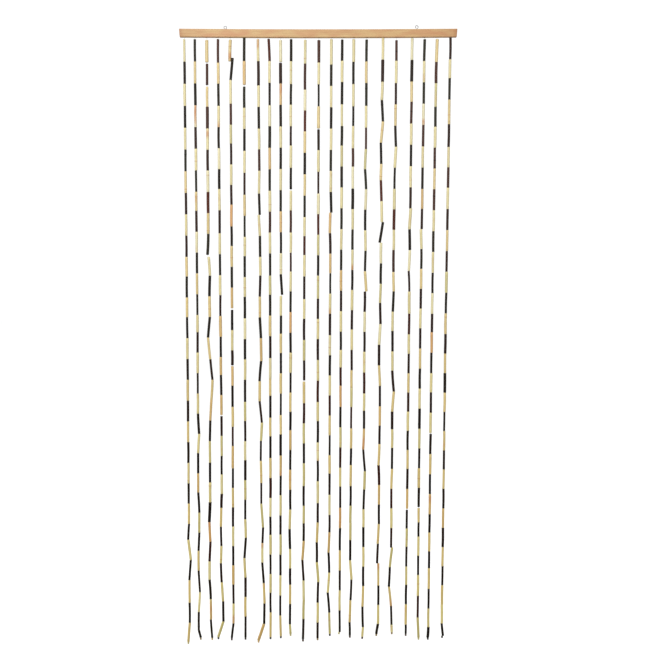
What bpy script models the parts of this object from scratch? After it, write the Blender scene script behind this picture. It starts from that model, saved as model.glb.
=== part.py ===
"""Bamboo bead door curtain: 22 strings of tube beads under a wooden rail with two screw eyes.

The origin is the middle of the rail's top face. +X runs right along the rail, -Y is the front
and +Z is up. Lengths are metres, except in the tables, which are millimetres as measured.
"""
import math
import random
from collections import namedtuple

import bmesh
import bpy
from mathutils import Matrix, Vector

MM = 0.001
OBJECT_NAME = "bamboo_door_curtain"
SEED = 22

# Rail
RAIL_LENGTH = 0.900
RAIL_HEIGHT = 0.0260
RAIL_DEPTH = 0.014
RAIL_BOW = 0.002          # the ends stand this much above the middle
RAIL_EDGE = 0.0016        # rounding of the long and short edges
RAIL_END_SLANT = 0.002    # how much shorter the lower edge is at each end
RAIL_EDGE_SEGMENTS = 2
RAIL_BAYS = 8             # straight stretches that make the bow
STRING_HOLE_WIDTH = 0.0044
STRING_HOLE_DEPTH = 0.016
HOLE_SIDES = 6
CUT_CLEARANCE = 0.002     # how far a drill stands out of the face it cuts

# Screw eyes
EYE_WIRE = 0.0020
EYE_RING_WIDTH = 0.0088   # across the middle of the wire
EYE_MOUTH = math.radians(38)   # the gap where the ring's end stops short of the shank
EYE_RING_POINTS = 16
EYE_SHANK_DEPTH = 0.010   # how deep the shank goes into the wood
EYE_TIP_ROOM = 0.001      # the hole below the shank's point
EYE_HOLE_WIDTH = 0.0032
EYE_X = {"screw_eye_left": -0.301, "screw_eye_right": 0.319}
EYE_RISE = {"screw_eye_left": 0.0060, "screw_eye_right": 0.0078}   # to the ring's middle

# Strings and beads
STRAND_SIDES = 4
STRING_WIDTH = 0.0012
STRING_TOP = 0.011        # how far the string reaches up into its hole
STRING_DROP = 0.0004      # how far it hangs straight below the rail before it may lean
BEAD_WIDTH = {"N": 0.0088, "D": 0.0086}
BEAD_WIDTH_SPREAD = 0.0004
FOOT_SLIMMING = 0.08      # the lowest beads are this much slimmer than the top ones
SQUARE_TO_ROUND = 1.08    # a square section's half diagonal for a round bead's radius
JOINT_GAP = 0.0010        # between two beads that touch, where the string shows as a notch
BARE_STRING_FROM = 0.003  # a gap this long shows a run of bare string
NECK_LENGTH = 0.0004      # from a bead's end to the bare string in a wide gap
STOP_LENGTH = 0.0085      # the small stop bead at a strand's foot
STOP_WIDTH = 0.0070
STOP_TIP_WIDTH = 0.0042
STOP_TAPER = 0.0024
LENGTH_JITTER = 0.0006
SIDE_JITTER = 0.0004

# One row a strand, from left to right. first is the kind of the top bead, N natural or D dark.
# start to foot are millimetres down from the rail's top: the top bead's top, the ends of beads
# 7, 14, 21 and 28, and the strand's foot. The x columns are millimetres right of the middle, at
# the top, at the end of the middle bead, at the top of the last bead, and at the foot.
MIDDLE_BEAD = 14
Strand = namedtuple("Strand", "beads first start end7 end14 end21 end28 foot x_top x_mid x_low x_foot")
STRANDS = (
    Strand(29, "N", 31, 524, 1001, 1488, 1966, 2041, -434.0, -433.5, -434.5, -440.0),
    Strand(30, "D", 31, 520, 981, 1454, 1929, 2026, -400.0, -399.5, -404.0, -398.0),
    Strand(29, "N", 34, 521, 999, 1485, 1955, 2027, -361.0, -361.0, -363.0, -359.0),
    Strand(30, "D", 31, 511, 996, 1458, 1892, 2024, -325.0, -323.0, -321.0, -338.0),
    Strand(30, "N", 33, 498, 974, 1437, 1900, 2028, -285.0, -284.5, -286.5, -293.0),
    Strand(29, "D", 27, 530, 1004, 1477, 1944, 2026, -240.0, -242.5, -246.0, -246.5),
    Strand(29, "N", 31, 526, 1001, 1487, 1970, 2036, -195.0, -189.5, -183.0, -202.0),
    Strand(29, "D", 30, 517, 994, 1470, 1930, 2024, -158.0, -159.0, -161.0, -161.5),
    Strand(29, "N", 34, 515, 986, 1462, 1941, 2021, -122.0, -123.5, -128.0, -127.0),
    Strand(30, "D", 31, 512, 983, 1442, 1901, 2013, -88.0, -91.5, -95.5, -94.0),
    Strand(29, "N", 33, 533, 1007, 1497, 1953, 2032, -42.0, -46.5, -50.0, -52.0),
    Strand(29, "D", 34, 526, 1004, 1481, 1965, 2028, 2.0, -1.0, -2.0, -2.5),
    Strand(29, "N", 31, 521, 991, 1455, 1931, 2013, 43.0, 39.0, 37.0, 39.0),
    Strand(29, "D", 32, 506, 979, 1435, 1923, 2007, 78.0, 75.0, 72.5, 73.0),
    Strand(30, "N", 31, 510, 972, 1426, 1888, 2019, 115.0, 111.5, 106.5, 107.0),
    Strand(30, "D", 32, 512, 980, 1447, 1910, 2023, 157.0, 153.0, 151.5, 149.0),
    Strand(30, "N", 27, 483, 954, 1427, 1904, 2013, 210.0, 206.0, 202.5, 197.0),
    Strand(30, "D", 34, 511, 977, 1439, 1908, 2007, 254.0, 246.0, 248.0, 249.0),
    Strand(30, "N", 28, 506, 988, 1439, 1902, 2013, 304.5, 300.5, 296.0, 296.0),
    Strand(30, "D", 31, 511, 968, 1437, 1873, 2026, 344.5, 338.0, 336.5, 339.5),
    Strand(30, "N", 31, 512, 981, 1457, 1917, 2026, 384.0, 376.0, 372.5, 371.0),
    Strand(30, "D", 26, 507, 987, 1441, 1903, 2020, 428.5, 421.5, 418.0, 422.5),
)

# Beads that are clearly longer or shorter than their neighbours: strand, then bead and length.
ODD_LENGTHS = {
    1: {11: 64, 13: 65, 24: 54, 27: 78},
    2: {8: 62, 14: 57, 20: 65, 22: 65, 25: 62, 27: 74, 29: 65},
    3: {2: 73, 6: 67, 15: 72, 17: 67, 20: 73, 21: 67, 26: 63, 28: 71},
    4: {1: 74, 2: 67, 3: 71, 7: 64, 9: 75, 12: 65, 16: 60, 19: 70, 21: 63, 23: 47, 26: 59, 29: 70},
    5: {2: 60, 3: 76, 5: 61, 8: 64, 9: 71, 10: 64, 14: 72, 16: 50, 18: 71, 20: 65, 21: 75, 29: 68},
    6: {1: 73, 2: 75, 3: 74, 4: 68, 10: 63, 12: 65, 13: 71, 17: 74, 18: 64, 20: 64, 24: 63, 25: 70},
    7: {2: 77, 5: 67, 7: 74, 11: 61, 15: 76, 18: 72, 19: 61, 21: 75, 23: 81, 24: 53, 25: 67},
    8: {3: 72, 4: 67, 11: 73, 12: 63, 15: 73, 17: 58, 18: 73, 19: 63, 20: 73, 23: 64, 24: 62, 27: 64},
    9: {14: 60, 15: 64, 18: 72, 19: 65, 20: 71, 22: 66, 24: 65},
    10: {2: 73, 3: 66, 5: 62, 6: 72, 9: 72, 10: 66, 11: 62, 12: 65, 18: 64, 19: 62, 27: 56, 29: 70},
    11: {1: 75, 2: 83, 3: 67, 4: 67, 9: 62, 10: 62, 12: 75, 13: 65, 17: 76, 21: 77, 23: 60, 24: 60,
         25: 65, 26: 71},
    12: {12: 76, 17: 71, 18: 64, 19: 72, 20: 62, 22: 74, 23: 66, 27: 71},
    13: {1: 80, 11: 64, 14: 71, 21: 62, 22: 72, 24: 59},
    14: {3: 71, 4: 70, 5: 63, 15: 61, 16: 58, 17: 61, 18: 71, 22: 64, 23: 72, 25: 76},
    15: {4: 63, 6: 59, 14: 64, 17: 59, 18: 64, 19: 72, 21: 56, 22: 71, 24: 59, 25: 58, 26: 69, 28: 71,
         29: 76},
    16: {3: 73, 4: 70, 6: 65, 7: 65, 15: 66, 18: 58, 19: 60, 20: 71, 21: 73, 22: 62, 24: 61, 28: 71,
         29: 71},
    17: {2: 70, 3: 59, 7: 53, 13: 63, 14: 70, 19: 65, 20: 62, 21: 72, 27: 76, 29: 66},
    18: {1: 65, 2: 71, 11: 72, 12: 64, 14: 64, 16: 64, 17: 70, 19: 59, 20: 63, 21: 71, 29: 65},
    19: {3: 65, 4: 70, 13: 73, 25: 62, 27: 63, 29: 70},
    20: {24: 52, 25: 49, 28: 72, 29: 75},
    21: {1: 72, 3: 76, 4: 64, 14: 61, 17: 64, 20: 71, 24: 63, 25: 64, 26: 58, 27: 71, 29: 64},
    22: {2: 60, 4: 79, 5: 73, 6: 66, 7: 66, 29: 65},
}

# Beads that are clearly wider or slimmer than their neighbours: strand, then bead and by how much.
ODD_WIDTHS = {
    1: {1: -1},
    2: {7: -1, 13: -1, 17: -0.8},
    3: {1: 1.5, 4: 1.5, 7: 1, 8: 1.5, 9: 0.8, 10: 1, 12: 1, 13: 1.2, 22: 1, 23: 2, 25: 0.8, 26: 1, 27: 1.3},
    4: {13: -0.7, 14: 1, 16: 0.7, 21: -0.7, 23: 0.8, 30: 1.2},
    5: {1: 1, 6: -1, 16: 1.5, 19: 0.7, 20: -1.5, 21: 0.7, 22: -0.7, 27: 0.8},
    6: {2: 1.5, 7: -1, 9: -1, 21: 1, 26: 0.8, 27: 0.8},
    7: {2: 1, 20: -1, 22: -1, 29: 1.5},
    8: {3: -0.8, 4: 1, 5: 1, 8: 0.8, 14: 0.8, 16: 0.7, 22: 1, 25: 0.8},
    9: {1: 1, 2: 2, 10: -1, 11: 0.7, 17: 0.7, 18: -1, 20: 0.7},
    10: {5: -0.8, 11: -1.5, 16: 0.8, 17: -0.8, 25: 1, 27: 1},
    11: {15: 0.7, 17: 0.7, 25: 0.7},
    12: {1: 1.2, 3: -1.8, 4: 1.2, 6: 0.7, 7: -1.8, 8: 1},
    13: {1: 0.7, 12: -1.2, 20: -1.5, 21: 0.7},
    14: {2: 0.7, 4: -0.8, 8: 0.7, 16: 0.7},
    15: {1: 1, 4: -0.8, 8: 1, 13: 0.8, 19: -1},
    16: {5: -1},
    17: {2: 1.8, 16: 1, 22: 1.2, 30: 0.8},
    18: {3: -1, 7: -1, 8: 1, 9: 1, 19: 1},
    19: {2: 1.8, 5: 0.8, 9: 1, 10: 0.7, 12: -0.8, 13: 0.8},
    20: {19: 1.2, 22: 1, 23: 1},
    21: {1: 1.2, 2: 1, 5: 0.7, 12: -1, 30: 1.5},
    22: {12: 1, 15: 0.8, 17: 1.2, 19: -1, 25: 0.8},
}

# Joints that hang beside their strand's line: strand, then the bead that ends there and how far.
KINKS = {
    1: {24: -3, 25: 5},
    2: {19: 4, 23: 3, 24: 3, 27: 4},
    3: {10: -3, 11: 4, 12: 2, 13: 3, 14: -4, 15: 3, 16: 10, 17: 6, 18: 2, 23: -3, 25: -3, 26: -4},
    4: {21: -1, 22: -1, 23: -3, 24: -5, 25: -4, 26: -6, 27: -4},
    5: {1: -2},
    6: {24: 2, 25: -3},
    7: {7: -2, 12: -3, 13: -3, 16: -6, 17: -7, 19: -4, 20: -5, 21: -4, 22: -5, 24: -3, 25: -4, 27: 2},
    8: {0: -3},
    9: {12: 4},
    10: {24: -2},
    11: {25: -4, 27: 1},
    12: {24: -3, 25: -3, 26: 2},
    13: {8: 2, 9: -2, 25: -3, 27: -5},
    15: {27: 5, 28: 2},
    16: {6: -2, 7: 2, 10: 2, 12: 5, 20: -2, 21: 4, 22: 2, 28: -2},
    17: {3: -2, 4: 2, 5: -4, 6: -2, 7: -3, 9: 2, 10: -5, 13: -2, 15: -4, 16: -4, 21: -3, 25: -3, 26: -5},
    18: {5: 3, 12: 2, 17: 5, 22: -2, 23: -2, 24: -2, 25: -2, 26: -6, 27: -9, 28: -2},
    19: {9: -2, 11: -3},
    20: {0: 1},
    21: {0: 2},
}

# Beads whose top sits beside the end of the bead above it: strand, then the upper bead and how far.
STEPS = {
    3: {10: 3},
    5: {1: 9},
    7: {8: -3},
    9: {12: -4},
    13: {8: -3},
    16: {12: -4},
    17: {9: 3, 10: 5, 26: 4},
    18: {25: 3},
    19: {8: 2},
    20: {9: -3},
}

# Joints where the bare string shows: strand, then the upper bead and the gap's length.
WIDE_GAPS = {
    3: {1: 6, 2: 6, 10: 7},
    4: {18: 5},
    5: {13: 6, 16: 4},
    6: {2: 7},
    9: {1: 4, 12: 4},
    10: {7: 5},
    11: {16: 5},
    12: {4: 4},
    19: {23: 5},
    20: {23: 5},
    21: {19: 4},
}

# Beads of the same kind as the bead above them.
SAME_AS_ABOVE = {2: (30,), 3: (18,), 8: (17,), 11: (28,), 15: (18, 25), 22: (29,)}

# Stop beads that hang beside their strand's line.
STOP_SWING = {14: -3, 22: -3}

Section = namedtuple("Section", "centre radius surface")


def clear_scene():
    """Remove the objects of the scene that the script starts in"""
    for old in list(bpy.data.objects):
        bpy.data.objects.remove(old, do_unlink=True)


def make_collection(name):
    """A new collection under the scene's own"""
    collection = bpy.data.collections.new(name)
    bpy.context.scene.collection.children.link(collection)
    return collection


def make_material(name, colour, roughness, metallic=0.0):
    """A Principled material of one colour"""
    material = bpy.data.materials.new(name)
    material.use_nodes = True
    shader = material.node_tree.nodes["Principled BSDF"]
    shader.inputs["Base Color"].default_value = (*colour, 1.0)
    shader.inputs["Roughness"].default_value = roughness
    shader.inputs["Metallic"].default_value = metallic
    return material


def link_mesh(name, bm, collection, materials):
    """An object in the collection from a finished bmesh"""
    mesh = bpy.data.meshes.new(name)
    bm.to_mesh(mesh)
    bm.free()
    for material in materials:
        mesh.materials.append(material)
    obj = bpy.data.objects.new(name, mesh)
    collection.objects.link(obj)
    return obj


def rail_rise(x):
    """The height of the bowed rail's top over its middle"""
    return RAIL_BOW * (x / (RAIL_LENGTH / 2)) ** 2


def make_rail(collection, material):
    """The bowed bar with rounded edges"""
    bm = bmesh.new()
    bar = bmesh.ops.create_cube(bm, size=1.0)
    bmesh.ops.scale(bm, vec=(RAIL_LENGTH, RAIL_DEPTH, RAIL_HEIGHT), verts=bar["verts"])
    for bay in range(1, RAIL_BAYS):
        x = RAIL_LENGTH * (bay / RAIL_BAYS - 0.5)
        everything = bm.verts[:] + bm.edges[:] + bm.faces[:]
        bmesh.ops.bisect_plane(bm, geom=everything, plane_co=(x, 0, 0), plane_no=(1, 0, 0))
    for vert in bm.verts:
        rise = rail_rise(vert.co.x) - RAIL_HEIGHT / 2
        if vert.co.z < 0:
            vert.co.x *= 1 - 2 * RAIL_END_SLANT / RAIL_LENGTH
        vert.co.z += rise
    rail = link_mesh("rail", bm, collection, [material])
    bevel = rail.modifiers.new("rounded edges", "BEVEL")
    bevel.width = RAIL_EDGE
    bevel.segments = RAIL_EDGE_SEGMENTS
    bevel.limit_method = "ANGLE"
    return rail


def make_drills(collection):
    """Every hole of the rail as one cutter: a string's hole over each strand, an eye's below it"""
    bm = bmesh.new()
    for row in STRANDS:
        x = row.x_top * MM
        bottom = rail_rise(x) - RAIL_HEIGHT - CUT_CLEARANCE
        height = STRING_HOLE_DEPTH + CUT_CLEARANCE
        add_drill(bm, x, bottom + height / 2, STRING_HOLE_WIDTH, height)
    for x in EYE_X.values():
        height = EYE_SHANK_DEPTH + EYE_TIP_ROOM + CUT_CLEARANCE
        centre = rail_rise(x) + CUT_CLEARANCE - height / 2
        add_drill(bm, x, centre, EYE_HOLE_WIDTH, height)
    drills = link_mesh("drills", bm, collection, [])
    drills.hide_render = True
    drills.display_type = "WIRE"
    return drills


def add_drill(bm, x, z, width, height):
    """One upright drill, centred at x and z"""
    bmesh.ops.create_cone(
        bm, cap_ends=True, segments=HOLE_SIDES, radius1=width / 2, radius2=width / 2,
        depth=height, matrix=Matrix.Translation((x, 0, z)))


def drill_rail(rail, drills):
    """Cut the holes into the rail"""
    cut = rail.modifiers.new("holes", "BOOLEAN")
    cut.operation = "DIFFERENCE"
    cut.solver = "EXACT"
    cut.object = drills


def eye_route(rise):
    """The wire of a screw eye, from the shank's point up and once around the ring"""
    radius = EYE_RING_WIDTH / 2
    centre = Vector((0, 0, rise))
    points = [Vector((0, 0, -EYE_SHANK_DEPTH)), Vector((0, 0, rise - radius - EYE_WIRE))]
    sweep = 2 * math.pi - EYE_MOUTH
    for index in range(EYE_RING_POINTS):
        angle = -math.pi / 2 + sweep * index / (EYE_RING_POINTS - 1)
        points.append(centre + radius * Vector((math.cos(angle), 0, math.sin(angle))))
    return points


def make_eye(name, x, collection, material):
    """One screw eye: a wire with its ring upright, seen round from the front"""
    route = eye_route(EYE_RISE[name])
    curve = bpy.data.curves.new(name, "CURVE")
    curve.dimensions = "3D"
    curve.bevel_depth = EYE_WIRE / 2
    curve.bevel_resolution = 1
    curve.use_fill_caps = True
    spline = curve.splines.new("POLY")
    spline.points.add(len(route) - 1)
    for point, place in zip(spline.points, route):
        point.co = (*place, 1.0)
    curve.materials.append(material)
    eye = bpy.data.objects.new(name, curve)
    eye.location = (x, 0, rail_rise(x))
    collection.objects.link(eye)


def bead_ends(number, row, rng):
    """How far down each joint lies: the top bead's top, then every bead's end"""
    last = row.foot - STOP_LENGTH / MM
    anchors = [(0, row.start), (7, row.end7), (14, row.end14), (21, row.end21), (28, row.end28)]
    anchors.append((row.beads, last))
    odd = ODD_LENGTHS.get(number, {})
    ends = [row.start * MM]
    for (first, high), (final, low) in zip(anchors, anchors[1:]):
        beads = range(first + 1, final + 1)
        plain = [bead for bead in beads if bead not in odd]
        shared = low - high - sum(odd[bead] for bead in beads if bead in odd)
        wobble = {bead: rng.uniform(-LENGTH_JITTER, LENGTH_JITTER) for bead in plain}
        drift = sum(wobble.values()) / max(len(plain), 1)
        for bead in beads:
            if bead in odd:
                length = odd[bead] * MM
            else:
                length = shared / len(plain) * MM + wobble[bead] - drift
            ends.append(ends[-1] + length)
    return ends


def joint_x(number, row, joint):
    """The sideways place of a joint: on the strand's line, or beside it at a kink"""
    low = row.beads - 1
    if joint <= MIDDLE_BEAD:
        x = row.x_top + (row.x_mid - row.x_top) * joint / MIDDLE_BEAD
    elif joint <= low:
        x = row.x_mid + (row.x_low - row.x_mid) * (joint - MIDDLE_BEAD) / (low - MIDDLE_BEAD)
    else:
        x = row.x_foot
    return (x + KINKS.get(number, {}).get(joint, 0)) * MM


def bead_kinds(number, row):
    """N or D for each bead from the top, by turns, but for the beads named in the table"""
    kinds = [row.first]
    other = {"N": "D", "D": "N"}
    for bead in range(2, row.beads + 1):
        same = bead in SAME_AS_ABOVE.get(number, ())
        kinds.append(kinds[-1] if same else other[kinds[-1]])
    return kinds


def neck_sections(upper_x, upper_drop, lower_x, lower_drop):
    """The bare string between two beads: one section in a notch, two in a wide gap"""
    radius = STRING_WIDTH / 2
    if lower_drop - upper_drop < BARE_STRING_FROM:
        middle = ((upper_x + lower_x) / 2, 0, -(upper_drop + lower_drop) / 2)
        return [Section(middle, radius, "string")]
    return [
        Section((upper_x, 0, -upper_drop - NECK_LENGTH), radius, "string"),
        Section((lower_x, 0, -lower_drop + NECK_LENGTH), radius, "string"),
    ]


def strand_sections(number, row, rng):
    """The level square sections of one strand, from the string in the rail to the foot"""
    ends = bead_ends(number, row, rng)
    kinds = bead_kinds(number, row)
    steps = STEPS.get(number, {})
    gaps = WIDE_GAPS.get(number, {})
    widths = ODD_WIDTHS.get(number, {})
    rise = rail_rise(row.x_top * MM)
    string = STRING_WIDTH / 2
    sections = [
        Section((row.x_top * MM, 0, rise - RAIL_HEIGHT + STRING_TOP), string, "string"),
        Section((row.x_top * MM, 0, rise - RAIL_HEIGHT - STRING_DROP), string, "string"),
        Section((joint_x(number, row, 0), 0, NECK_LENGTH - ends[0]), string, "string"),
    ]
    for bead, kind in enumerate(kinds, start=1):
        above = bead - 1
        gap = gaps.get(above, JOINT_GAP / MM) * MM if above else 0.0
        top_drop = ends[above] + gap
        low_drop = ends[bead]
        top_x = joint_x(number, row, above) + steps.get(above, 0) * MM
        top_x += rng.uniform(-SIDE_JITTER, SIDE_JITTER)
        low_x = joint_x(number, row, bead) + rng.uniform(-SIDE_JITTER, SIDE_JITTER)
        width = BEAD_WIDTH[kind] * (1 - FOOT_SLIMMING * low_drop / (row.foot * MM))
        width += widths.get(bead, 0) * MM + rng.uniform(-BEAD_WIDTH_SPREAD, BEAD_WIDTH_SPREAD)
        radius = SQUARE_TO_ROUND * width / 2
        if above:
            sections += neck_sections(upper_x, ends[above], top_x, top_drop)
        sections.append(Section((top_x, 0, -top_drop), radius, "string"))
        sections.append(Section((low_x, 0, -low_drop), radius, kind))
        upper_x = low_x
    return sections + stop_sections(number, row, upper_x, ends[-1])


def stop_sections(number, row, x, drop):
    """The small stop bead under the last bead"""
    foot = row.foot * MM
    stop_x = x + STOP_SWING.get(number, 0) * MM
    neck = Section(((x + stop_x) / 2, 0, -drop - JOINT_GAP / 2), STRING_WIDTH / 2, "string")
    return [
        neck,
        Section((stop_x, 0, -drop - JOINT_GAP), STOP_WIDTH / 2, "string"),
        Section((stop_x, 0, STOP_TAPER - foot), STOP_WIDTH / 2, "D"),
        Section((stop_x, 0, -foot), STOP_TIP_WIDTH / 2, "D"),
    ]


def make_strand(number, row, collection, materials, rng):
    """One strand as a loft through its sections, closed at both ends"""
    sections = strand_sections(number, row, rng)
    slots = {"string": 0, "N": 1, "D": 2}
    bm = bmesh.new()
    upper = []
    for index, section in enumerate(sections):
        is_end = index in (0, len(sections) - 1)
        ring = bmesh.ops.create_circle(
            bm, cap_ends=is_end, segments=STRAND_SIDES, radius=section.radius,
            matrix=Matrix.Translation(section.centre))
        edges = list({edge for vert in ring["verts"] for edge in vert.link_edges})
        if upper:
            side = bmesh.ops.bridge_loops(bm, edges=upper + edges)
            for face in side["faces"]:
                face.material_index = slots[section.surface]
        upper = edges
    bmesh.ops.recalc_face_normals(bm, faces=bm.faces[:])
    link_mesh(f"strand_{number:02d}", bm, collection, materials)


def build():
    """The whole curtain"""
    clear_scene()
    parts = make_collection(OBJECT_NAME)
    cutters = make_collection("cutters")
    wood = make_material("rail wood", (0.62, 0.37, 0.19), 0.55)
    steel = make_material("eye steel", (0.62, 0.62, 0.60), 0.30, metallic=1.0)
    string = make_material("clear string", (0.80, 0.80, 0.78), 0.35)
    natural = make_material("natural bamboo", (0.66, 0.53, 0.24), 0.45)
    dark = make_material("dark bamboo", (0.025, 0.018, 0.014), 0.40)
    rail = make_rail(parts, wood)
    drill_rail(rail, make_drills(cutters))
    for name, x in EYE_X.items():
        make_eye(name, x, parts, steel)
    for number, row in enumerate(STRANDS, start=1):
        make_strand(number, row, parts, [string, natural, dark], random.Random(SEED + number))


build()
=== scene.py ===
"""The looks of a bamboo bead door curtain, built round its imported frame.

A strand of the frame is a run of level square sections. They are read back here as beads, and each
becomes a hollow bamboo tube with its own grain and colour, threaded on a string. Lengths are metres.
"""
import math
import random
from collections import namedtuple

import bmesh
import bpy
from mathutils import Matrix, Vector


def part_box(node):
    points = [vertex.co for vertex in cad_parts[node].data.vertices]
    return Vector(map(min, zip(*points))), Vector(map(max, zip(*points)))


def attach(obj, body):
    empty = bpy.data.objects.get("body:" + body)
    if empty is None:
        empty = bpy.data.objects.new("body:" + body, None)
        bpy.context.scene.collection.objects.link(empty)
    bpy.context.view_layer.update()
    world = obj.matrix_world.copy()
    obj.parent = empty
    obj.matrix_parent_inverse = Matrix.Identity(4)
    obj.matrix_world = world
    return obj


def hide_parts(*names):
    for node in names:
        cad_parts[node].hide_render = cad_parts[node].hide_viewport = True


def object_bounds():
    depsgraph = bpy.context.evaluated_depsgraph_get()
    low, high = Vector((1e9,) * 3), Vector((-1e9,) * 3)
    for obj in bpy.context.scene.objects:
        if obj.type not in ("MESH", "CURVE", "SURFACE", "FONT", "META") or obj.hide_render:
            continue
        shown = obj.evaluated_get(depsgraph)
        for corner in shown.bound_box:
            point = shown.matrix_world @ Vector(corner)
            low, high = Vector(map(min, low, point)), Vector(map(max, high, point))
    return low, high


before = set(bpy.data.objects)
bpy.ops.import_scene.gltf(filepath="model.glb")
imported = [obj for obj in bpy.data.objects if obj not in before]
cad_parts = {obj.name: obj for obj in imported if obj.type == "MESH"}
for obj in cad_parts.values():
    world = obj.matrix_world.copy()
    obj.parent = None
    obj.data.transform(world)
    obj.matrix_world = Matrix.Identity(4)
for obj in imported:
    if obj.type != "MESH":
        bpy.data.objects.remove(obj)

cad_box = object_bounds()

MM = 0.001
SEED = 7

# Reading the frame
STRAND_COUNT = 22
LEVEL_STEP = 0.0001       # two points this far apart in height are on two levels
SQUARE_TO_ROUND = 1.08    # a square section's half diagonal for a round bead's radius
BEAD_HALF_WIDTH = 0.002   # a section wider than this is a bead's
BEAD_SHORTEST = 0.015
STOP_LEVELS = 3           # the stop bead's top, shoulder and tip

# Beads
BEAD_SIDES = 18
BEAD_REACH = 0.00035      # how far a bead closes the frame's gap at each end
BORE = 0.42               # the bore's share of the width
SAWN_EDGE = 0.00045       # rounding of the sawn ends
SAWN_EDGE_STEP = 0.3      # the share of that rounding where its middle ring lies
SAWN_EDGE_RAW = 0.4       # how raw the wood looks there
WALL_RINGS = 7
BEAD_OVAL = 0.035
BEAD_TAPER = 0.05
BEAD_BEND = 0.0006
NODE_SHARE = 0.16         # how many beads have a node of the cane in them
NODE_SWELL = 0.075
NODE_REACH = 0.0022       # from the middle of a node to where its swelling ends
NODE_CORE = 0.45          # the swelling's width, as a share of its reach
NODE_RINGS = (-1.0, -0.4, 0.0, 0.4, 1.0)   # shares of the reach where a node has rings
NODE_CLEARANCE = 1.4      # plain rings keep this many reaches away from a node
NODE_PLACES = (0.15, 0.85)   # from and to, as shares of a bead
NODE_MARK = 0.75          # how strongly a node is stained
NODE_MARK_REACH = 0.5     # over which share of its reach
GRAIN_PULL = 0.045        # how much slower the grain changes along a bead than across it
GRAIN_SPREAD = 400.0      # how far apart in the grain two beads may be cut

# Strings and stop beads
STRING_RADIUS = 0.00045
STRING_SIDES = 8
STOP_SIDES = 16
STOP_BEAD_SHARE = 0.74    # the bead's share of the stop's height, with the knot below it
STOP_PROFILE = ((0.0, 0.50), (0.06, 0.74), (0.2, 0.93), (0.45, 1.0), (0.75, 0.92), (0.94, 0.70),
                (1.0, 0.52))
KNOT_PROFILE = ((0.0, 0.45), (0.15, 0.85), (0.45, 1.0), (0.75, 0.88), (0.93, 0.58), (1.0, 0.3))
KNOT_SWELL = 1.6          # the knot's width over the frame's stop at its tip
KNOT_LUMPS = 3
KNOT_DEPTH = 0.16

# Rail
RAIL_CORNER = 0.0014
RAIL_CORNER_STEPS = 5
RAIL_EDGE_SHADE_FADE = 0.0016   # how far the painted shade of a rounded edge runs onto a flat face
RAIL_STATIONS = 72
RAIL_TIP_SHADE_FROM = 0.78      # the share of the half length where painted shade starts to deepen the wood towards the tip
RAIL_TIP_SHADE = 0.42      # how deep that painted shade is just before the rounded tip
RAIL_END_STEPS = 4
HOLE_WIDTH = 0.0042
HOLE_DEPTH = 0.015
HOLE_OVERSHOOT = 0.0075   # how far the cutter reaches below the rail
HOLE_SIDES = 16

# Screw eyes
EYE_SIDES = 14
EYE_RING_STEPS = 54
EYE_MOUTH = math.radians(31)
EYE_WIRE = 0.0020
EYE_NECK = 0.8            # the bend from shank to ring, in widths of the wire
EYE_SHANK_STEP = 0.35     # a ring of points on the shank, as a share of the way to the ring's middle

# Kinds of bead: odd strands start with a natural one, even ones with a dark one, and they take turns
# but for these, which are like the bead above them.
SAME_AS_ABOVE = {2: (30,), 3: (18,), 8: (17,), 11: (28,), 15: (18, 25), 22: (29,)}

# Colours by name, as seen on a screen
SHADES = {
    "straw": (238, 227, 178),
    "cream": (243, 236, 199),
    "gold": (235, 213, 158),
    "olive": (219, 211, 158),
    "orange": (226, 176, 122),
    "tan": (226, 193, 138),
    "hazel": (160, 139, 99),
    "black": (48, 44, 36),
    "green_black": (56, 55, 44),
    "brown_black": (64, 48, 41),
    "brown": (88, 63, 54),
    "red_brown": (98, 56, 45),
}
# A bead with no shade of its own draws one here, more often one that stands here more often.
NATURAL_MIX = ("straw", "straw", "straw", "straw", "cream", "gold", "gold", "gold")
DARK_MIX = ("black", "black", "green_black", "green_black", "brown_black")
NATURAL_FROM = 300        # a shade whose channels add up to more is natural cane, not dark
TINT_SPREAD = {"natural": 0.06, "dark": 0.12}
# Painted shade: beads darken towards the foot, the natural ones also turning yellower, in place of light
# that falls off down the curtain and of the sheen on the upper beads; each channel at the foot is
# multiplied by these
FOOT_PAINTED_SHADE = {"natural": (0.91, 0.86, 0.58), "dark": (0.36, 0.22, 0.12)}
PAINTED_SHADE_SPAN = {"natural": (0.1, 1.0), "dark": (0.1, 0.75)}   # from and to, as shares of a strand

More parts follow.
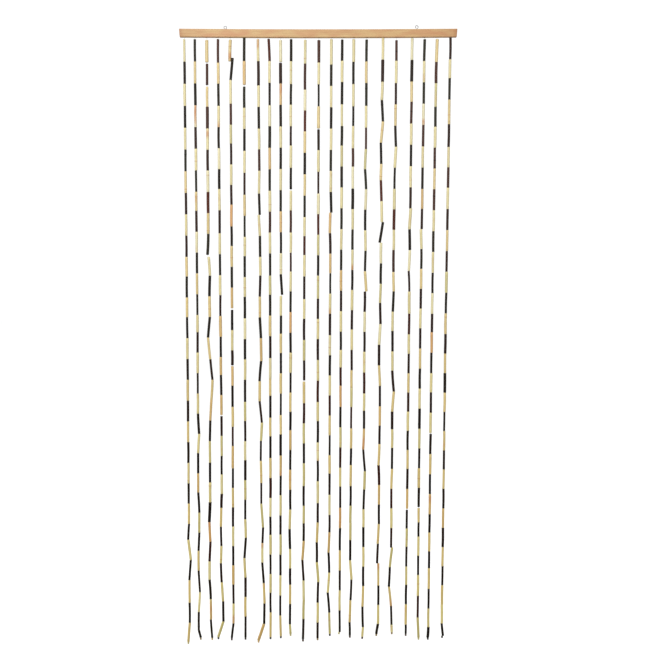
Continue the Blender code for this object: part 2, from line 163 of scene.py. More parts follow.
# Beads whose colour stands out: strand, then bead and shade.
STANDING_OUT = {
    1: {9: "straw", 13: "gold", 17: "gold", 19: "gold", 23: "gold", 27: "gold", 29: "gold"},
    2: {2: "gold", 4: "cream", 9: "brown_black", 12: "gold", 15: "brown_black", 22: "tan", 24: "olive",
        26: "gold"},
    3: {1: "gold", 2: "brown", 4: "brown", 6: "brown_black", 7: "cream", 8: "red_brown", 9: "gold",
        13: "gold", 16: "brown_black", 18: "tan", 20: "olive", 24: "orange", 25: "red_brown"},
    4: {1: "brown", 9: "brown_black", 14: "tan", 16: "tan", 18: "tan", 20: "olive", 27: "brown_black",
        30: "olive"},
    5: {1: "gold", 3: "straw", 4: "brown", 5: "olive", 6: "brown_black", 7: "straw", 8: "brown_black",
        9: "orange", 13: "tan", 15: "straw", 17: "tan", 20: "red_brown", 21: "tan", 27: "tan"},
    6: {2: "tan", 4: "straw", 8: "gold", 10: "straw", 18: "olive", 19: "brown_black", 22: "olive",
        26: "straw", 28: "gold"},
    7: {2: "brown_black", 5: "straw", 6: "brown", 12: "brown_black", 15: "tan", 17: "gold", 19: "olive",
        21: "gold", 22: "brown_black", 23: "olive", 24: "brown_black", 29: "tan"},
    8: {1: "red_brown", 6: "tan", 9: "brown", 10: "straw", 12: "olive", 14: "gold", 21: "gold",
        22: "red_brown", 25: "straw", 29: "gold"},
    9: {1: "cream", 2: "brown_black", 3: "tan", 7: "straw", 9: "tan", 17: "gold", 19: "gold", 21: "tan",
        25: "olive", 29: "gold"},
    10: {1: "black", 2: "straw", 8: "straw", 9: "brown", 11: "brown", 14: "orange", 16: "straw",
         18: "gold", 20: "tan", 22: "tan", 24: "straw", 30: "olive"},
    11: {2: "brown", 3: "cream", 4: "red_brown", 7: "gold", 10: "red_brown", 12: "brown_black",
         15: "olive", 17: "gold", 18: "red_brown", 19: "olive", 21: "olive", 23: "olive", 25: "tan",
         28: "olive"},
    12: {1: "brown", 4: "gold", 9: "red_brown", 10: "olive", 12: "olive", 16: "straw", 17: "red_brown",
         24: "gold", 26: "olive"},
    13: {3: "straw", 5: "straw", 9: "tan", 10: "brown_black", 11: "tan", 18: "red_brown", 21: "gold",
         25: "tan", 29: "olive"},
    14: {6: "olive", 12: "tan", 17: "red_brown", 18: "orange", 20: "olive", 21: "red_brown",
         24: "orange"},
    15: {6: "brown", 9: "straw", 14: "brown_black", 18: "olive", 19: "red_brown", 20: "gold", 24: "olive",
         25: "olive", 29: "gold"},
    16: {4: "straw", 5: "brown", 6: "olive", 12: "gold", 17: "red_brown", 20: "tan", 22: "olive"},
    17: {1: "straw", 2: "brown_black", 5: "gold", 7: "gold", 8: "red_brown", 13: "olive", 17: "gold",
         19: "tan", 21: "gold", 22: "red_brown", 23: "tan", 27: "gold"},
    18: {1: "brown", 2: "straw", 4: "gold", 9: "red_brown", 11: "brown", 12: "gold", 20: "straw",
         22: "gold", 23: "red_brown", 25: "brown", 26: "olive", 28: "gold"},
    19: {1: "cream", 4: "brown", 9: "straw", 14: "red_brown", 15: "straw", 17: "gold", 18: "brown",
         23: "tan", 25: "olive", 29: "gold"},
    20: {2: "straw", 4: "cream", 5: "brown", 8: "tan", 10: "straw", 14: "straw", 15: "brown_black",
         20: "olive", 29: "red_brown", 30: "olive"},
    21: {1: "gold", 2: "brown", 3: "olive", 5: "straw", 6: "brown", 8: "brown", 15: "orange", 23: "tan",
         25: "gold"},
    22: {5: "brown_black", 7: "brown", 10: "gold", 12: "olive", 14: "gold", 16: "gold", 22: "gold",
         24: "tan"},
}

# Reddish stains: strand, then bead and where the stain begins and ends as shares of its length.
STAINS = {
    2: {4: (0.0, 0.9)},
    3: {5: (0.1, 0.35), 24: (0.0, 0.2), 28: (0.2, 1.0)},
    4: {4: (0.85, 1.0)},
    5: {1: (0.6, 0.85), 29: (0.6, 1.0)},
    7: {1: (0.0, 0.4), 25: (0.0, 0.2)},
    9: {3: (0.05, 0.45), 21: (0.75, 1.0)},
    12: {20: (0.93, 1.0)},
    13: {13: (0.75, 1.0)},
    15: {11: (0.75, 1.0)},
    16: {20: (0.5, 1.0)},
    17: {27: (0.0, 0.25)},
    18: {28: (0.7, 1.0)},
    20: {4: (0.8, 1.0)},
    21: {23: (0.12, 0.35)},
}
# Stains that come by chance: how many beads, where they begin, how long and how strong they are.
STAIN_CHANCE = 0.10
STAIN_PLACES = (0.0, 0.9)
STAIN_LENGTHS = (0.06, 0.3)
STAIN_STRENGTHS = (0.2, 0.5)
STAIN_FADE = 0.08         # the share of a bead over which a stain fades out

# The stop bead's shade, strand by strand; the others are black.
STOP_SHADES = {
    1: "olive", 2: "hazel", 3: "gold", 5: "brown", 7: "tan", 10: "olive", 11: "brown", 12: "hazel",
    14: "olive", 15: "brown", 16: "brown", 17: "hazel", 18: "hazel", 19: "brown", 20: "olive",
}

# One bead hangs in front of the foot of the bead above it: its strand and number, how far its top
# reaches up past the joint, and how far it stands forward.
FRONT_BEAD = (5, 2)
FRONT_BEAD_UP = 0.0095
FRONT_BEAD_OUT = 0.0066

# Surfaces
SMOOTH_BELOW = math.radians(38)   # faces that meet at less than this look smooth
CANE_BUMP = 0.35
CANE_FIBRE = 0.00012      # the height of a fibre on a bead

# Camera, floor and light
CAMERA_PLACE = (0.0, -3.0485, -0.7716)
CAMERA_PITCH = math.radians(3.96)
CAMERA_LENS = 49.96
CAMERA_SHIFT = 0.0215
FLOOR_GAP = 0.03
FLOOR_SIZE = 40.0
FLOOR_SEEN = 0.92         # how pale the camera sees the floor
FLOOR_CAST = 0.35         # how much of its light the floor sends back up
FLOOR_ROUGHNESS = 0.9
WORLD_SEEN = 1.05         # how bright the camera sees the white world
WORLD_CAST = 0.22         # how much light it casts
AreaLight = namedtuple("AreaLight", "name place target size power")
AREA_LIGHTS = (
    AreaLight("key", (-1.3, -3.2, 0.9), (0.0, 0.0, -0.6), (2.4, 1.8), 84.0),
    AreaLight("fill", (1.8, -2.8, -0.2), (0.0, 0.0, -0.9), (1.8, 1.8), 14.0),
)
OVERHEAD_POWER = 2.9
OVERHEAD_ANGLE = math.radians(40)

Level = namedtuple("Level", "middle half")
Layers = namedtuple("Layers", "tint grain stain sawn")
NATURAL_SLOT, DARK_SLOT, STRING_SLOT = range(3)   # the places of a strand's three materials


def linear(shade):
    """A named screen colour as linear red, green and blue"""
    def channel(value):
        value /= 255
        return value / 12.92 if value <= 0.04045 else ((value + 0.055) / 1.055) ** 2.4
    return [channel(value) for value in SHADES[shade]]


# Shader helpers

def feed(tree, socket, value):
    """Link a socket to another one, or set its value"""
    if isinstance(value, bpy.types.NodeSocket):
        tree.links.new(value, socket)
    else:
        socket.default_value = value


def new_material(name, roughness, **constants):
    """A Principled material, with its node tree and shader"""
    material = bpy.data.materials.new(name)
    material.use_nodes = True
    shader = material.node_tree.nodes["Principled BSDF"]
    shader.inputs["Roughness"].default_value = roughness
    for constant, value in constants.items():
        shader.inputs[constant.replace("_", " ")].default_value = value
    return material, material.node_tree, shader


def attribute(tree, name, output):
    """A socket that reads a mesh attribute"""
    node = tree.nodes.new("ShaderNodeAttribute")
    node.attribute_name = name
    return node.outputs[output]


def stretched(tree, vector, scale):
    """Coordinates scaled by a different number along each axis"""
    node = tree.nodes.new("ShaderNodeMapping")
    node.inputs["Scale"].default_value = scale
    feed(tree, node.inputs["Vector"], vector)
    return node.outputs["Vector"]


def noise(tree, vector, scale, detail=2.0, distortion=0.0):
    """A noise value at the given coordinates"""
    node = tree.nodes.new("ShaderNodeTexNoise")
    node.inputs["Scale"].default_value = scale
    node.inputs["Detail"].default_value = detail
    node.inputs["Distortion"].default_value = distortion
    feed(tree, node.inputs["Vector"], vector)
    return node.outputs["Fac"]


def span(tree, value, low, high, to_low=0.0, to_high=1.0):
    """A value's range from low to high, mapped to another range and held inside it"""
    node = tree.nodes.new("ShaderNodeMapRange")
    feed(tree, node.inputs["Value"], value)
    node.inputs["From Min"].default_value = low
    node.inputs["From Max"].default_value = high
    node.inputs["To Min"].default_value = to_low
    node.inputs["To Max"].default_value = to_high
    return node.outputs["Result"]


def math_node(tree, operation, first, second):
    """The result of one operation on two values"""
    node = tree.nodes.new("ShaderNodeMath")
    node.operation = operation
    feed(tree, node.inputs[0], first)
    feed(tree, node.inputs[1], second)
    return node.outputs[0]


def mix(tree, factor, first, second, blend="MIX"):
    """Two colours mixed by a factor"""
    node = tree.nodes.new("ShaderNodeMix")
    node.data_type = "RGBA"
    node.blend_type = blend
    factor_input, first_colour, second_colour, colour_result = 0, 6, 7, 2
    feed(tree, node.inputs[factor_input], factor)
    feed(tree, node.inputs[first_colour], first)
    feed(tree, node.inputs[second_colour], second)
    return node.outputs[colour_result]


def bump(tree, height, strength, distance):
    """A bumped normal"""
    node = tree.nodes.new("ShaderNodeBump")
    node.inputs["Strength"].default_value = strength
    node.inputs["Distance"].default_value = distance
    feed(tree, node.inputs["Height"], height)
    return node.outputs["Normal"]


def object_place(tree):
    """The coordinates of a point in its own piece"""
    return tree.nodes.new("ShaderNodeTexCoord").outputs["Object"]


# Materials

def natural_bamboo():
    """Lacquered pale cane: fine fibres along the bead, soft mottling, stains and raw sawn ends"""
    material, tree, shader = new_material("natural_bamboo", 0.45, Specular_IOR_Level=0.35)
    grain = attribute(tree, "grain", "Vector")
    colour = attribute(tree, "tint", "Color")
    fibres = noise(tree, grain, 1.9, detail=3.0)
    mottle = noise(tree, grain, 0.28, detail=2.0)
    olive = (0.60, 0.58, 0.24, 1.0)
    warm = (0.86, 0.60, 0.26, 1.0)
    colour = mix(tree, span(tree, mottle, 0.52, 0.75, 0.0, 0.22), colour, olive)
    colour = mix(tree, span(tree, mottle, 0.46, 0.25, 0.0, 0.30), colour, warm)
    dim = (0.62, 0.50, 0.30, 1.0)
    colour = mix(tree, span(tree, fibres, 0.40, 0.72, 0.0, 0.42), colour, dim, "MULTIPLY")
    stain = attribute(tree, "stain", "Fac")
    blotch = span(tree, noise(tree, grain, 0.55, detail=3.0, distortion=0.6), 0.35, 0.65, 0.1, 0.9)
    rust = (0.58, 0.20, 0.08, 1.0)
    colour = mix(tree, math_node(tree, "MULTIPLY", stain, blotch), colour, rust)
    raw = (0.80, 0.68, 0.45, 1.0)
    colour = mix(tree, math_node(tree, "MULTIPLY", attribute(tree, "sawn", "Fac"), 0.75), colour, raw)
    feed(tree, shader.inputs["Base Color"], colour)
    feed(tree, shader.inputs["Roughness"], span(tree, fibres, 0.3, 0.7, 0.34, 0.52))
    feed(tree, shader.inputs["Normal"], bump(tree, fibres, CANE_BUMP, CANE_FIBRE))
    return material


def dark_bamboo():
    """Burnt and stained cane: near black, with brown fibres, and inky where it is stained or at a node"""
    material, tree, shader = new_material("dark_bamboo", 0.45, Specular_IOR_Level=0.12)
    grain = attribute(tree, "grain", "Vector")
    colour = attribute(tree, "tint", "Color")
    fibres = noise(tree, grain, 1.7, detail=3.0)
    mottle = noise(tree, grain, 0.25, detail=2.0)
    umber = (0.060, 0.028, 0.018, 1.0)
    colour = mix(tree, span(tree, mottle, 0.50, 0.78, 0.0, 0.50), colour, umber)
    pale = (0.080, 0.062, 0.045, 1.0)
    colour = mix(tree, span(tree, fibres, 0.52, 0.80, 0.0, 0.10), colour, pale)
    ink = (0.010, 0.008, 0.007, 1.0)
    colour = mix(tree, span(tree, fibres, 0.48, 0.28, 0.0, 0.50), colour, ink)
    colour = mix(tree, attribute(tree, "stain", "Fac"), colour, ink)
    feed(tree, shader.inputs["Base Color"], colour)
    feed(tree, shader.inputs["Roughness"], span(tree, fibres, 0.3, 0.7, 0.42, 0.60))
    feed(tree, shader.inputs["Normal"], bump(tree, fibres, CANE_BUMP, CANE_FIBRE))
    return material


def clear_string():
    """Thin white twisted cord"""
    material, tree, shader = new_material("clear_string", 0.45, Subsurface_Weight=0.1)
    place = object_place(tree)
    twist = tree.nodes.new("ShaderNodeTexWave")
    twist.wave_type = "BANDS"
    twist.bands_direction = "DIAGONAL"
    twist.inputs["Scale"].default_value = 420.0
    twist.inputs["Distortion"].default_value = 0.4
    feed(tree, twist.inputs["Vector"], place)
    white = (0.90, 0.89, 0.86, 1.0)
    shadow = (0.66, 0.64, 0.58, 1.0)
    feed(tree, shader.inputs["Base Color"], mix(tree, twist.outputs["Fac"], white, shadow))
    feed(tree, shader.inputs["Normal"], bump(tree, twist.outputs["Fac"], 0.5, 0.0001))
    return material


def rail_wood():
    """Lacquered light hardwood: grain along the rail, short pores, darker end grain, and painted shade on
    its rounded edges and towards its tips
    """
    material, tree, shader = new_material("rail_wood", 0.5, Specular_IOR_Level=0.35)
    place = object_place(tree)
    bands = noise(tree, stretched(tree, place, (5.0, 60.0, 110.0)), 1.0, detail=3.0, distortion=0.8)
    streaks = noise(tree, stretched(tree, place, (14.0, 500.0, 700.0)), 1.0, detail=3.0, distortion=0.3)
    pores = noise(tree, stretched(tree, place, (150.0, 1600.0, 2200.0)), 1.0, detail=2.0)
    patches = noise(tree, stretched(tree, place, (16.0, 20.0, 45.0)), 1.0, detail=1.0)
    honey = (0.66, 0.41, 0.19, 1.0)
    rose = (0.64, 0.34, 0.165, 1.0)
    straw = (0.70, 0.47, 0.22, 1.0)
    brown = (0.47, 0.26, 0.12, 1.0)
    colour = mix(tree, span(tree, patches, 0.40, 0.62), straw, rose)
    colour = mix(tree, span(tree, bands, 0.35, 0.65, 0.0, 0.75), colour, honey)
    colour = mix(tree, span(tree, streaks, 0.50, 0.78, 0.0, 0.60), colour, brown)
    colour = mix(tree, span(tree, pores, 0.60, 0.74, 0.0, 0.55), colour, brown)
    # Painted shade on the rounded edges
    edge = math_node(tree, "MULTIPLY", attribute(tree, "edge", "Fac"), 0.35)
    colour = mix(tree, edge, colour, (0.36, 0.19, 0.08, 1.0))
    # Darker end grain on the rounded ends, and painted shade on the faces near them
    end_grain_and_tip_shade = math_node(tree, "MULTIPLY", attribute(tree, "tip", "Fac"), 0.66)
    colour = mix(tree, end_grain_and_tip_shade, colour, (0.42, 0.17, 0.075, 1.0))
    feed(tree, shader.inputs["Base Color"], colour)
    feed(tree, shader.inputs["Roughness"], span(tree, streaks, 0.3, 0.7, 0.40, 0.56))
    height = math_node(tree, "SUBTRACT", math_node(tree, "MULTIPLY", streaks, 0.5), pores)
    feed(tree, shader.inputs["Normal"], bump(tree, height, 0.25, 0.0002))
    return material


def eye_steel():
    """Dull zinc-plated wire with faint drawing marks"""
    material, tree, shader = new_material("eye_steel", 0.3, Metallic=1.0)
    place = object_place(tree)
    cloud = noise(tree, place, 900.0, detail=3.0)
    light = (0.38, 0.38, 0.38, 1.0)
    dull = (0.28, 0.28, 0.28, 1.0)
    feed(tree, shader.inputs["Base Color"], mix(tree, span(tree, cloud, 0.35, 0.7), light, dull))
    feed(tree, shader.inputs["Roughness"], span(tree, cloud, 0.3, 0.7, 0.46, 0.60))
    feed(tree, shader.inputs["Normal"], bump(tree, cloud, 0.15, 0.0001))
    return material


# Mesh helpers

def new_object(name, data):
    """An object in the scene"""
    thing = bpy.data.objects.new(name, data)
    bpy.context.scene.collection.objects.link(thing)
    return thing


def new_mesh(name, bm):
    """A mesh made from a bmesh, which is freed"""
    mesh = bpy.data.meshes.new(name)
    bm.to_mesh(mesh)
    bm.free()
    return mesh


def new_piece(name, bm, materials, nodes):
    """A finished piece of the curtain: smooth but for its sharp edges, riding on the frame"""
    bmesh.ops.recalc_face_normals(bm, faces=bm.faces[:])
    mesh = new_mesh(name, bm)
    for material in materials:
        mesh.materials.append(material)
    mesh.shade_smooth()
    mesh.set_sharp_from_angle(angle=SMOOTH_BELOW)
    piece = new_object(name, mesh)
    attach(piece, "root")
    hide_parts(*nodes)
    return piece


def skin(bm, rings, material, closed=False):
    """Faces between each ring of points and the next, and from the last to the first if closed"""
    pairs = list(zip(rings, rings[1:]))
    if closed:
        pairs.append((rings[-1], rings[0]))
    for upper, lower in pairs:
        count = len(upper)
        for index in range(count):
            after = (index + 1) % count
            face = bm.faces.new((upper[index], upper[after], lower[after], lower[index]))
            face.material_index = material


def closed_skin(bm, rings, material=0):
    """A skin with one face over each end"""
    skin(bm, rings, material)
    for ring in (rings[0], rings[-1]):
        bm.faces.new(ring).material_index = material


def ring_points(middle, across, forward, radius, sides):
    """Evenly spaced points of a circle"""
    turns = [2 * math.pi * side / sides for side in range(sides)]
    return [middle + radius * (math.cos(a) * across + math.sin(a) * forward) for a in turns]


def heading(points, index):
    """The direction of a route at one of its points"""
    before = points[max(index - 1, 0)]
    after = points[min(index + 1, len(points) - 1)]
    return (after - before).normalized()


def directions(axis):
    """Two directions across an axis that is nearly upright"""
    across = axis.cross(Vector((0, 1, 0))).normalized()
    return across, axis.cross(across)


# Strands

def strand_levels(name):
    """The level sections of a strand of the frame, from the top down"""
    corners = sorted((vert.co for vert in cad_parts[name].data.vertices), key=lambda co: -co.z)
    rows = [[corners[0]]]
    for corner in corners[1:]:
        if rows[-1][-1].z - corner.z > LEVEL_STEP:
            rows.append([])
        rows[-1].append(corner)
    levels = []
    for row in rows:
        low = min(corner.x for corner in row)
        high = max(corner.x for corner in row)
        levels.append(Level(Vector(((low + high) / 2, 0.0, row[0].z)), (high - low) / 2))
    return levels


def bead_pairs(levels):
    """The top and end of each bead among a strand's levels"""
    pairs = []
    for top, end in zip(levels, levels[1:]):
        is_wide = min(top.half, end.half) > BEAD_HALF_WIDTH
        if is_wide and top.middle.z - end.middle.z > BEAD_SHORTEST:
            pairs.append((top, end))
    return pairs


def bead_kinds(number, count):
    """Whether each bead of a strand is dark, from the top"""
    dark = [number % 2 == 0]
    for bead in range(2, count + 1):
        same = bead in SAME_AS_ABOVE.get(number, ())
        dark.append(dark[-1] if same else not dark[-1])
    return dark


def varied(colour, rng, spread):
    """A colour a little lighter or darker, as one number for all three channels"""
    scale = 1 + rng.uniform(-spread, spread)
    return [min(channel * scale, 1.0) for channel in colour]


def bead_tint(number, bead, is_dark, down, rng):
    """The linear colour of one bead, with painted shade that deepens the further down its strand it hangs
    """
    shade = rng.choice(DARK_MIX if is_dark else NATURAL_MIX)
    shade = STANDING_OUT.get(number, {}).get(bead, shade)
    kind = "dark" if is_dark else "natural"
    # Painted shade that deepens down the strand
    begin, full = PAINTED_SHADE_SPAN[kind]
    depth = max(0.0, min(1.0, (down - begin) / (full - begin)))
    depth *= depth * (3 - 2 * depth)
    foot_shades = FOOT_PAINTED_SHADE[kind]
    colour = [channel * (1 - depth * (1 - foot)) for channel, foot in zip(linear(shade), foot_shades)]
    return varied(colour, rng, TINT_SPREAD[kind])


def bead_stain(number, bead, is_dark, rng):
    """Where a stain begins and ends on a bead, and how strong it is"""
    begin = rng.uniform(*STAIN_PLACES)
    length = rng.uniform(*STAIN_LENGTHS)
    strength = rng.uniform(*STAIN_STRENGTHS)
    has_stain = rng.random() < STAIN_CHANCE and not is_dark
    if bead in STAINS.get(number, {}):
        return (*STAINS[number][bead], 1.0)
    return (begin, begin + length, strength) if has_stain else (0.0, 0.0, 0.0)


def stain_at(share, stain):
    """The strength of a stain at a share of the bead's length, fading over its borders"""
    begin, end, strength = stain
    inside = min(share - begin, end - share)
    return strength * max(0.0, min(1.0, (inside + STAIN_FADE) / STAIN_FADE))


def wall_distances(length, node):
    """How far down a bead its wall's rings lie, with more of them round a node"""
    steps = [SAWN_EDGE + (length - 2 * SAWN_EDGE) * i / (WALL_RINGS - 1) for i in range(WALL_RINGS)]
    if node:
        steps = [step for step in steps if abs(step - node) > NODE_CLEARANCE * NODE_REACH]
        steps += [node + NODE_REACH * share for share in NODE_RINGS]
    return sorted(steps)


def bead_profile(length, radius, node, taper):
    """A bead's rings as distance down, radius and whether it is sawn: the wall, then the bore"""
    inset = SAWN_EDGE_STEP * SAWN_EDGE
    rings = [(0.0, radius - SAWN_EDGE, 1.0), (inset, radius - inset, SAWN_EDGE_RAW)]
    for distance in wall_distances(length, node):
        offset = (distance - node) / (NODE_CORE * NODE_REACH)
        swell = NODE_SWELL * math.exp(-offset ** 2) if node else 0.0
        share = distance / length - 0.5
        rings.append((distance, radius * (1 + swell + taper * share), 0.0))
    rings.append((length - inset, radius - inset, SAWN_EDGE_RAW))
    rings.append((length, radius - SAWN_EDGE, 1.0))
    rings.append((length, radius * BORE, 1.0))
    rings.append((0.0, radius * BORE, 1.0))
    return rings


def add_bead(bm, layers, top, end, radius, is_dark, tint, stain, rng):
    """One hollow bead between two points, a little oval, tapered and bent"""
    axis = (end - top).normalized()
    across, forward = directions(axis)
    length = (end - top).length
    oval = rng.uniform(0, BEAD_OVAL)
    oval_turn = rng.uniform(0, math.pi)
    bend_turn = rng.uniform(0, 2 * math.pi)
    bend = rng.uniform(0, BEAD_BEND) * (math.cos(bend_turn) * across + math.sin(bend_turn) * forward)
    node = rng.uniform(*NODE_PLACES) * length
    node = node if rng.random() < NODE_SHARE else 0.0
    taper = rng.uniform(-BEAD_TAPER, BEAD_TAPER)
    start = Vector([rng.uniform(0, GRAIN_SPREAD) for _ in range(3)])
    rings = []
    for distance, ring_radius, sawn in bead_profile(length, radius, node, taper):
        share = distance / length
        middle = top + axis * distance + bend * math.sin(math.pi * share)
        mark = stain_at(share, stain)
        if node and abs(distance - node) < NODE_MARK_REACH * NODE_REACH:
            mark = max(mark, NODE_MARK)
        ring = []
        for side in range(BEAD_SIDES):
            turn = 2 * math.pi * side / BEAD_SIDES
            reach = ring_radius * (1 + oval * math.cos(2 * (turn - oval_turn)))
            out = reach * (math.cos(turn) * across + math.sin(turn) * forward)
            vert = bm.verts.new(middle + out)
            vert[layers.tint] = (*tint, 1.0)
            vert[layers.grain] = start + out / MM + Vector((0, 0, distance / MM * GRAIN_PULL))
            vert[layers.stain] = mark
            vert[layers.sawn] = sawn
            ring.append(vert)
        rings.append(ring)
    skin(bm, rings, DARK_SLOT if is_dark else NATURAL_SLOT, closed=True)


def add_turned(bm, layers, top, end, radius, profile, sides, material, tint, lumps=0.0):
    """A small solid turned round the line from top to end, lumpy like a knot if asked"""
    axis = (end - top).normalized()
    across, forward = directions(axis)
    rings = []
    for share, width in profile:
        middle = top.lerp(end, share)
        ring = []
        for side in range(sides):
            turn = 2 * math.pi * side / sides
            lump = 1 + lumps * math.sin(KNOT_LUMPS * turn + 2 * math.pi * share)
            out = radius * width * lump * (math.cos(turn) * across + math.sin(turn) * forward)
            vert = bm.verts.new(middle + out)
            vert[layers.tint] = (*tint, 1.0)
            vert[layers.grain] = middle / MM + out / MM
            ring.append(vert)
        rings.append(ring)
    closed_skin(bm, rings, material)


def add_string(bm, points):
    """The string through a strand's points"""
    rings = []
    for index, point in enumerate(points):
        across, forward = directions(heading(points, index))
        places = ring_points(point, across, forward, STRING_RADIUS, STRING_SIDES)
        rings.append([bm.verts.new(place) for place in places])
    closed_skin(bm, rings, STRING_SLOT)


def add_stop(bm, layers, levels, number):
    """The stop bead and the knot that holds it"""
    top = levels[-STOP_LEVELS].middle
    tip = levels[-1].middle
    waist = top.lerp(tip, STOP_BEAD_SHARE)
    shade = STOP_SHADES.get(number, "black")
    material = NATURAL_SLOT if sum(SHADES[shade]) > NATURAL_FROM else DARK_SLOT
    radius = levels[-STOP_LEVELS].half
    add_turned(bm, layers, top, waist, radius, STOP_PROFILE, STOP_SIDES, material, linear(shade))
    add_turned(bm, layers, waist, tip, levels[-1].half * KNOT_SWELL, KNOT_PROFILE, STOP_SIDES, material,
               linear(shade), lumps=KNOT_DEPTH)


def make_strand(number, materials, rng):
    """One strand: its beads, its string and its stop"""
    name = f"strand_{number:02d}"
    levels = strand_levels(name)
    pairs = bead_pairs(levels)
    bm = bmesh.new()
    layers = Layers(
        bm.verts.layers.float_color.new("tint"), bm.verts.layers.float_vector.new("grain"),
        bm.verts.layers.float.new("stain"), bm.verts.layers.float.new("sawn"))
    kinds = bead_kinds(number, len(pairs))
    for bead, ((top, end), is_dark) in enumerate(zip(pairs, kinds), start=1):
        axis = (end.middle - top.middle).normalized()
        start = top.middle - axis * BEAD_REACH
        finish = end.middle + axis * BEAD_REACH
        if (number, bead) == FRONT_BEAD:
            start += Vector((0, -FRONT_BEAD_OUT, 0)) - axis * FRONT_BEAD_UP
        tint = bead_tint(number, bead, is_dark, bead / len(pairs), rng)
        stain = bead_stain(number, bead, is_dark, rng)
        radius = top.half / SQUARE_TO_ROUND
        add_bead(bm, layers, start, finish, radius, is_dark, tint, stain, rng)
    add_string(bm, [level.middle for level in levels[:-STOP_LEVELS]])
    add_stop(bm, layers, levels, number)
    return new_piece(f"{name}_beads", bm, materials, [name])


# Rail

def rail_outline(depth, height):
    """The rail's section from its top back corner round: places across it, and how much painted edge
    shade each gets
    """
    points = []
    half_depth = depth / 2 - RAIL_CORNER
    half_height = height / 2 - RAIL_CORNER
    corners = ((1, 1, 0.0), (-1, 1, 90.0), (-1, -1, 180.0), (1, -1, 270.0))
    for side, up, begin in corners:
        arc = []
        for step in range(RAIL_CORNER_STEPS + 1):
            turn = math.radians(begin + 90.0 * step / RAIL_CORNER_STEPS)
            arc.append((side * half_depth + RAIL_CORNER * math.cos(turn),
                        up * half_height + RAIL_CORNER * math.sin(turn), 1.0))
        before = Vector(arc[0][:2]) - RAIL_EDGE_SHADE_FADE * quarter_turn(begin)
        after = Vector(arc[-1][:2]) + RAIL_EDGE_SHADE_FADE * quarter_turn(begin + 90.0)
        points += [(*before, 0.0), *arc, (*after, 0.0)]
    return points


def quarter_turn(degrees):
    """The direction of travel round the section at a place of its corner arc"""
    turn = math.radians(degrees + 90.0)
    return Vector((math.cos(turn), math.sin(turn)))


def rail_stations(length):
    """Where the rail's sections stand, how much smaller each is at its edge, and the tip mask: painted
    shade towards each tip, full on the end grain
    """
    inner = length / 2 - RAIL_CORNER
    rounds = []
    for step in range(RAIL_END_STEPS + 1):
        turn = math.radians(90.0 * step / RAIL_END_STEPS)
        rounds.append((inner + RAIL_CORNER * math.sin(turn), RAIL_CORNER * (1 - math.cos(turn)), 1.0))
    left = [(-x, inset, tip) for x, inset, tip in reversed(rounds)]
    middle = []
    for station in range(1, RAIL_STATIONS):
        share = 2 * station / RAIL_STATIONS - 1
        # Painted shade that deepens towards the tip
        nearness = RAIL_TIP_SHADE * max(0.0, abs(share) - RAIL_TIP_SHADE_FROM) / (1 - RAIL_TIP_SHADE_FROM)
        middle.append((inner * share, 0.0, nearness))
    return left + middle + rounds


def rail_slant(low, high):
    """How much further out the rail's end reaches at its upper edge than at its lower one"""
    corners = [vert.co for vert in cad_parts["rail"].data.vertices]
    return high.x - max(corner.x for corner in corners if corner.z < low.z / 2)


def string_places():
    """Where each strand's string leaves the rail"""
    return [strand_levels(f"strand_{number:02d}")[1].middle for number in range(1, STRAND_COUNT + 1)]


def rail_drill():
    """One cutter with a round hole over every strand"""
    bm = bmesh.new()
    for place in string_places():
        middle = place + Vector((0, 0, (HOLE_DEPTH - HOLE_OVERSHOOT) / 2))
        bmesh.ops.create_cone(
            bm, cap_ends=True, segments=HOLE_SIDES, radius1=HOLE_WIDTH / 2, radius2=HOLE_WIDTH / 2,
            depth=HOLE_DEPTH + HOLE_OVERSHOOT, matrix=Matrix.Translation(middle))
    return new_object("drill", new_mesh("drill", bm))


def make_rail(material):
    """The bowed rail with its rounded edges and its string holes"""
    low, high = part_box("rail")
    length, depth = high.x - low.x, high.y - low.y
    bow = high.z
    height = high.z - low.z - bow
    slant = rail_slant(low, high)
    outline = rail_outline(depth, height)
    bm = bmesh.new()
    # The edge mask: painted shade on the rounded edges
    edge = bm.verts.layers.float.new("edge")
    # The tip mask: end grain on the rounded ends, painted shade on the faces near them
    tip = bm.verts.layers.float.new("tip")
    rings = []
    for x, inset, nearness in rail_stations(length):
        rise = bow * (2 * x / length) ** 2 - height / 2
        shrink_y = 1 - 2 * inset / depth
        shrink_z = 1 - 2 * inset / height
        ring = []
        for y, z, rim in outline:
            narrower = 1 - 2 * slant / length * (0.5 - z / height)
            vert = bm.verts.new((x * narrower, y * shrink_y, z * shrink_z + rise))
            vert[edge] = rim
            vert[tip] = nearness
            ring.append(vert)
        rings.append(ring)
    closed_skin(bm, rings)
    piece = new_piece("rail_bar", bm, [material], ["rail"])
    drill = rail_drill()
    cut = piece.modifiers.new("string holes", "BOOLEAN")
    cut.operation = "DIFFERENCE"
    cut.solver = "EXACT"
    cut.object = drill
    bpy.context.view_layer.objects.active = piece
    with bpy.context.temp_override(object=piece, active_object=piece):
        bpy.ops.object.modifier_apply(modifier=cut.name)
    bpy.data.objects.remove(drill, do_unlink=True)
    return piece


# Screw eyes

def eye_route(low, high):
    """The wire's middle line from the shank's point up and round the ring"""
    ring_radius = (high.x - low.x - EYE_WIRE) / 2
    centre = Vector(((low.x + high.x) / 2, 0, high.z - EYE_WIRE / 2 - ring_radius))
    bend = EYE_WIRE * EYE_NECK
    foot = Vector((centre.x, 0, low.z))
    neck = Vector((centre.x, 0, centre.z - ring_radius - bend))
    points = [foot, foot.lerp(centre, EYE_SHANK_STEP), neck]
    sweep = 2 * math.pi - EYE_MOUTH
    lead = bend / ring_radius
    for step in range(EYE_RING_STEPS + 1):
        turn = -math.pi / 2 + lead + (sweep - lead) * step / EYE_RING_STEPS
        points.append(centre + ring_radius * Vector((math.cos(turn), 0, math.sin(turn))))
    return points


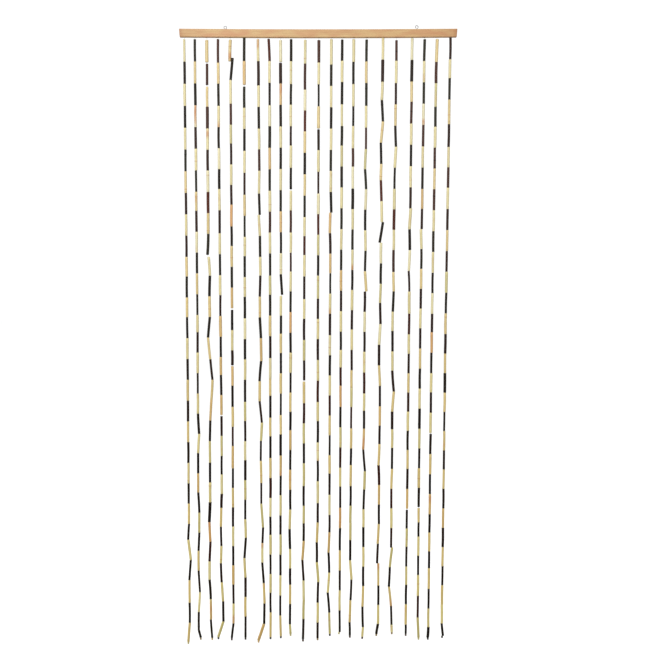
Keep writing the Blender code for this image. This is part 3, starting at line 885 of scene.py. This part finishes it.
def make_eye(name, material):
    """One screw eye of bent round wire"""
    route = eye_route(*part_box(name))
    forward = Vector((0, 1, 0))
    bm = bmesh.new()
    rings = []
    for index, point in enumerate(route):
        across = heading(route, index).cross(forward)
        places = ring_points(point, across, forward, EYE_WIRE / 2, EYE_SIDES)
        rings.append([bm.verts.new(place) for place in places])
    closed_skin(bm, rings)
    return new_piece(f"{name}_wire", bm, [material], [name])


# Camera, floor and light

def make_camera():
    """The photograph's viewpoint: a little above the middle, looking slightly down"""
    data = bpy.data.cameras.new("camera")
    data.lens = CAMERA_LENS
    data.shift_x = CAMERA_SHIFT
    camera = new_object("camera", data)
    camera.location = CAMERA_PLACE
    camera.rotation_euler = (math.pi / 2 - CAMERA_PITCH, 0, 0)
    bpy.context.scene.camera = camera


def make_floor():
    """A plain white floor just below the curtain"""
    bm = bmesh.new()
    bmesh.ops.create_grid(bm, x_segments=1, y_segments=1, size=FLOOR_SIZE / 2)
    mesh = new_mesh("floor", bm)
    material, tree, shader = new_material("floor_white", FLOOR_ROUGHNESS)
    is_seen = tree.nodes.new("ShaderNodeLightPath").outputs["Is Camera Ray"]
    feed(tree, shader.inputs["Base Color"], span(tree, is_seen, 0.0, 1.0, FLOOR_CAST, FLOOR_SEEN))
    mesh.materials.append(material)
    floor = new_object("floor", mesh)
    floor.location.z = cad_box[0].z - FLOOR_GAP


def make_world():
    """A white world, brighter to the camera than the light it casts"""
    world = bpy.data.worlds.new("studio")
    world.use_nodes = True
    tree = world.node_tree
    background = tree.nodes["Background"]
    background.inputs["Color"].default_value = (1.0, 1.0, 1.0, 1.0)
    is_seen = tree.nodes.new("ShaderNodeLightPath").outputs["Is Camera Ray"]
    feed(tree, background.inputs["Strength"], span(tree, is_seen, 0.0, 1.0, WORLD_CAST, WORLD_SEEN))
    bpy.context.scene.world = world


def add_area(plan):
    """A soft rectangular light that points at a place"""
    data = bpy.data.lights.new(plan.name, "AREA")
    data.shape = "RECTANGLE"
    data.size, data.size_y = plan.size
    data.energy = plan.power
    light = new_object(plan.name, data)
    light.location = plan.place
    towards = Vector(plan.target) - Vector(plan.place)
    light.rotation_euler = towards.to_track_quat("-Z", "Y").to_euler()


def add_overhead():
    """Soft light straight down, for the floor"""
    data = bpy.data.lights.new("overhead", "SUN")
    data.energy = OVERHEAD_POWER
    data.angle = OVERHEAD_ANGLE
    new_object("overhead", data)


def make_studio():
    """Floor, world and lights"""
    make_floor()
    make_world()
    for plan in AREA_LIGHTS:
        add_area(plan)
    add_overhead()


def main():
    """The whole scene"""
    bpy.context.scene.view_settings.view_transform = "Standard"
    make_camera()
    make_studio()
    make_rail(rail_wood())
    steel = eye_steel()
    for name in ("screw_eye_left", "screw_eye_right"):
        make_eye(name, steel)
    cane = [natural_bamboo(), dark_bamboo(), clear_string()]
    for number in range(1, STRAND_COUNT + 1):
        make_strand(number, cane, random.Random(SEED + number))


main()
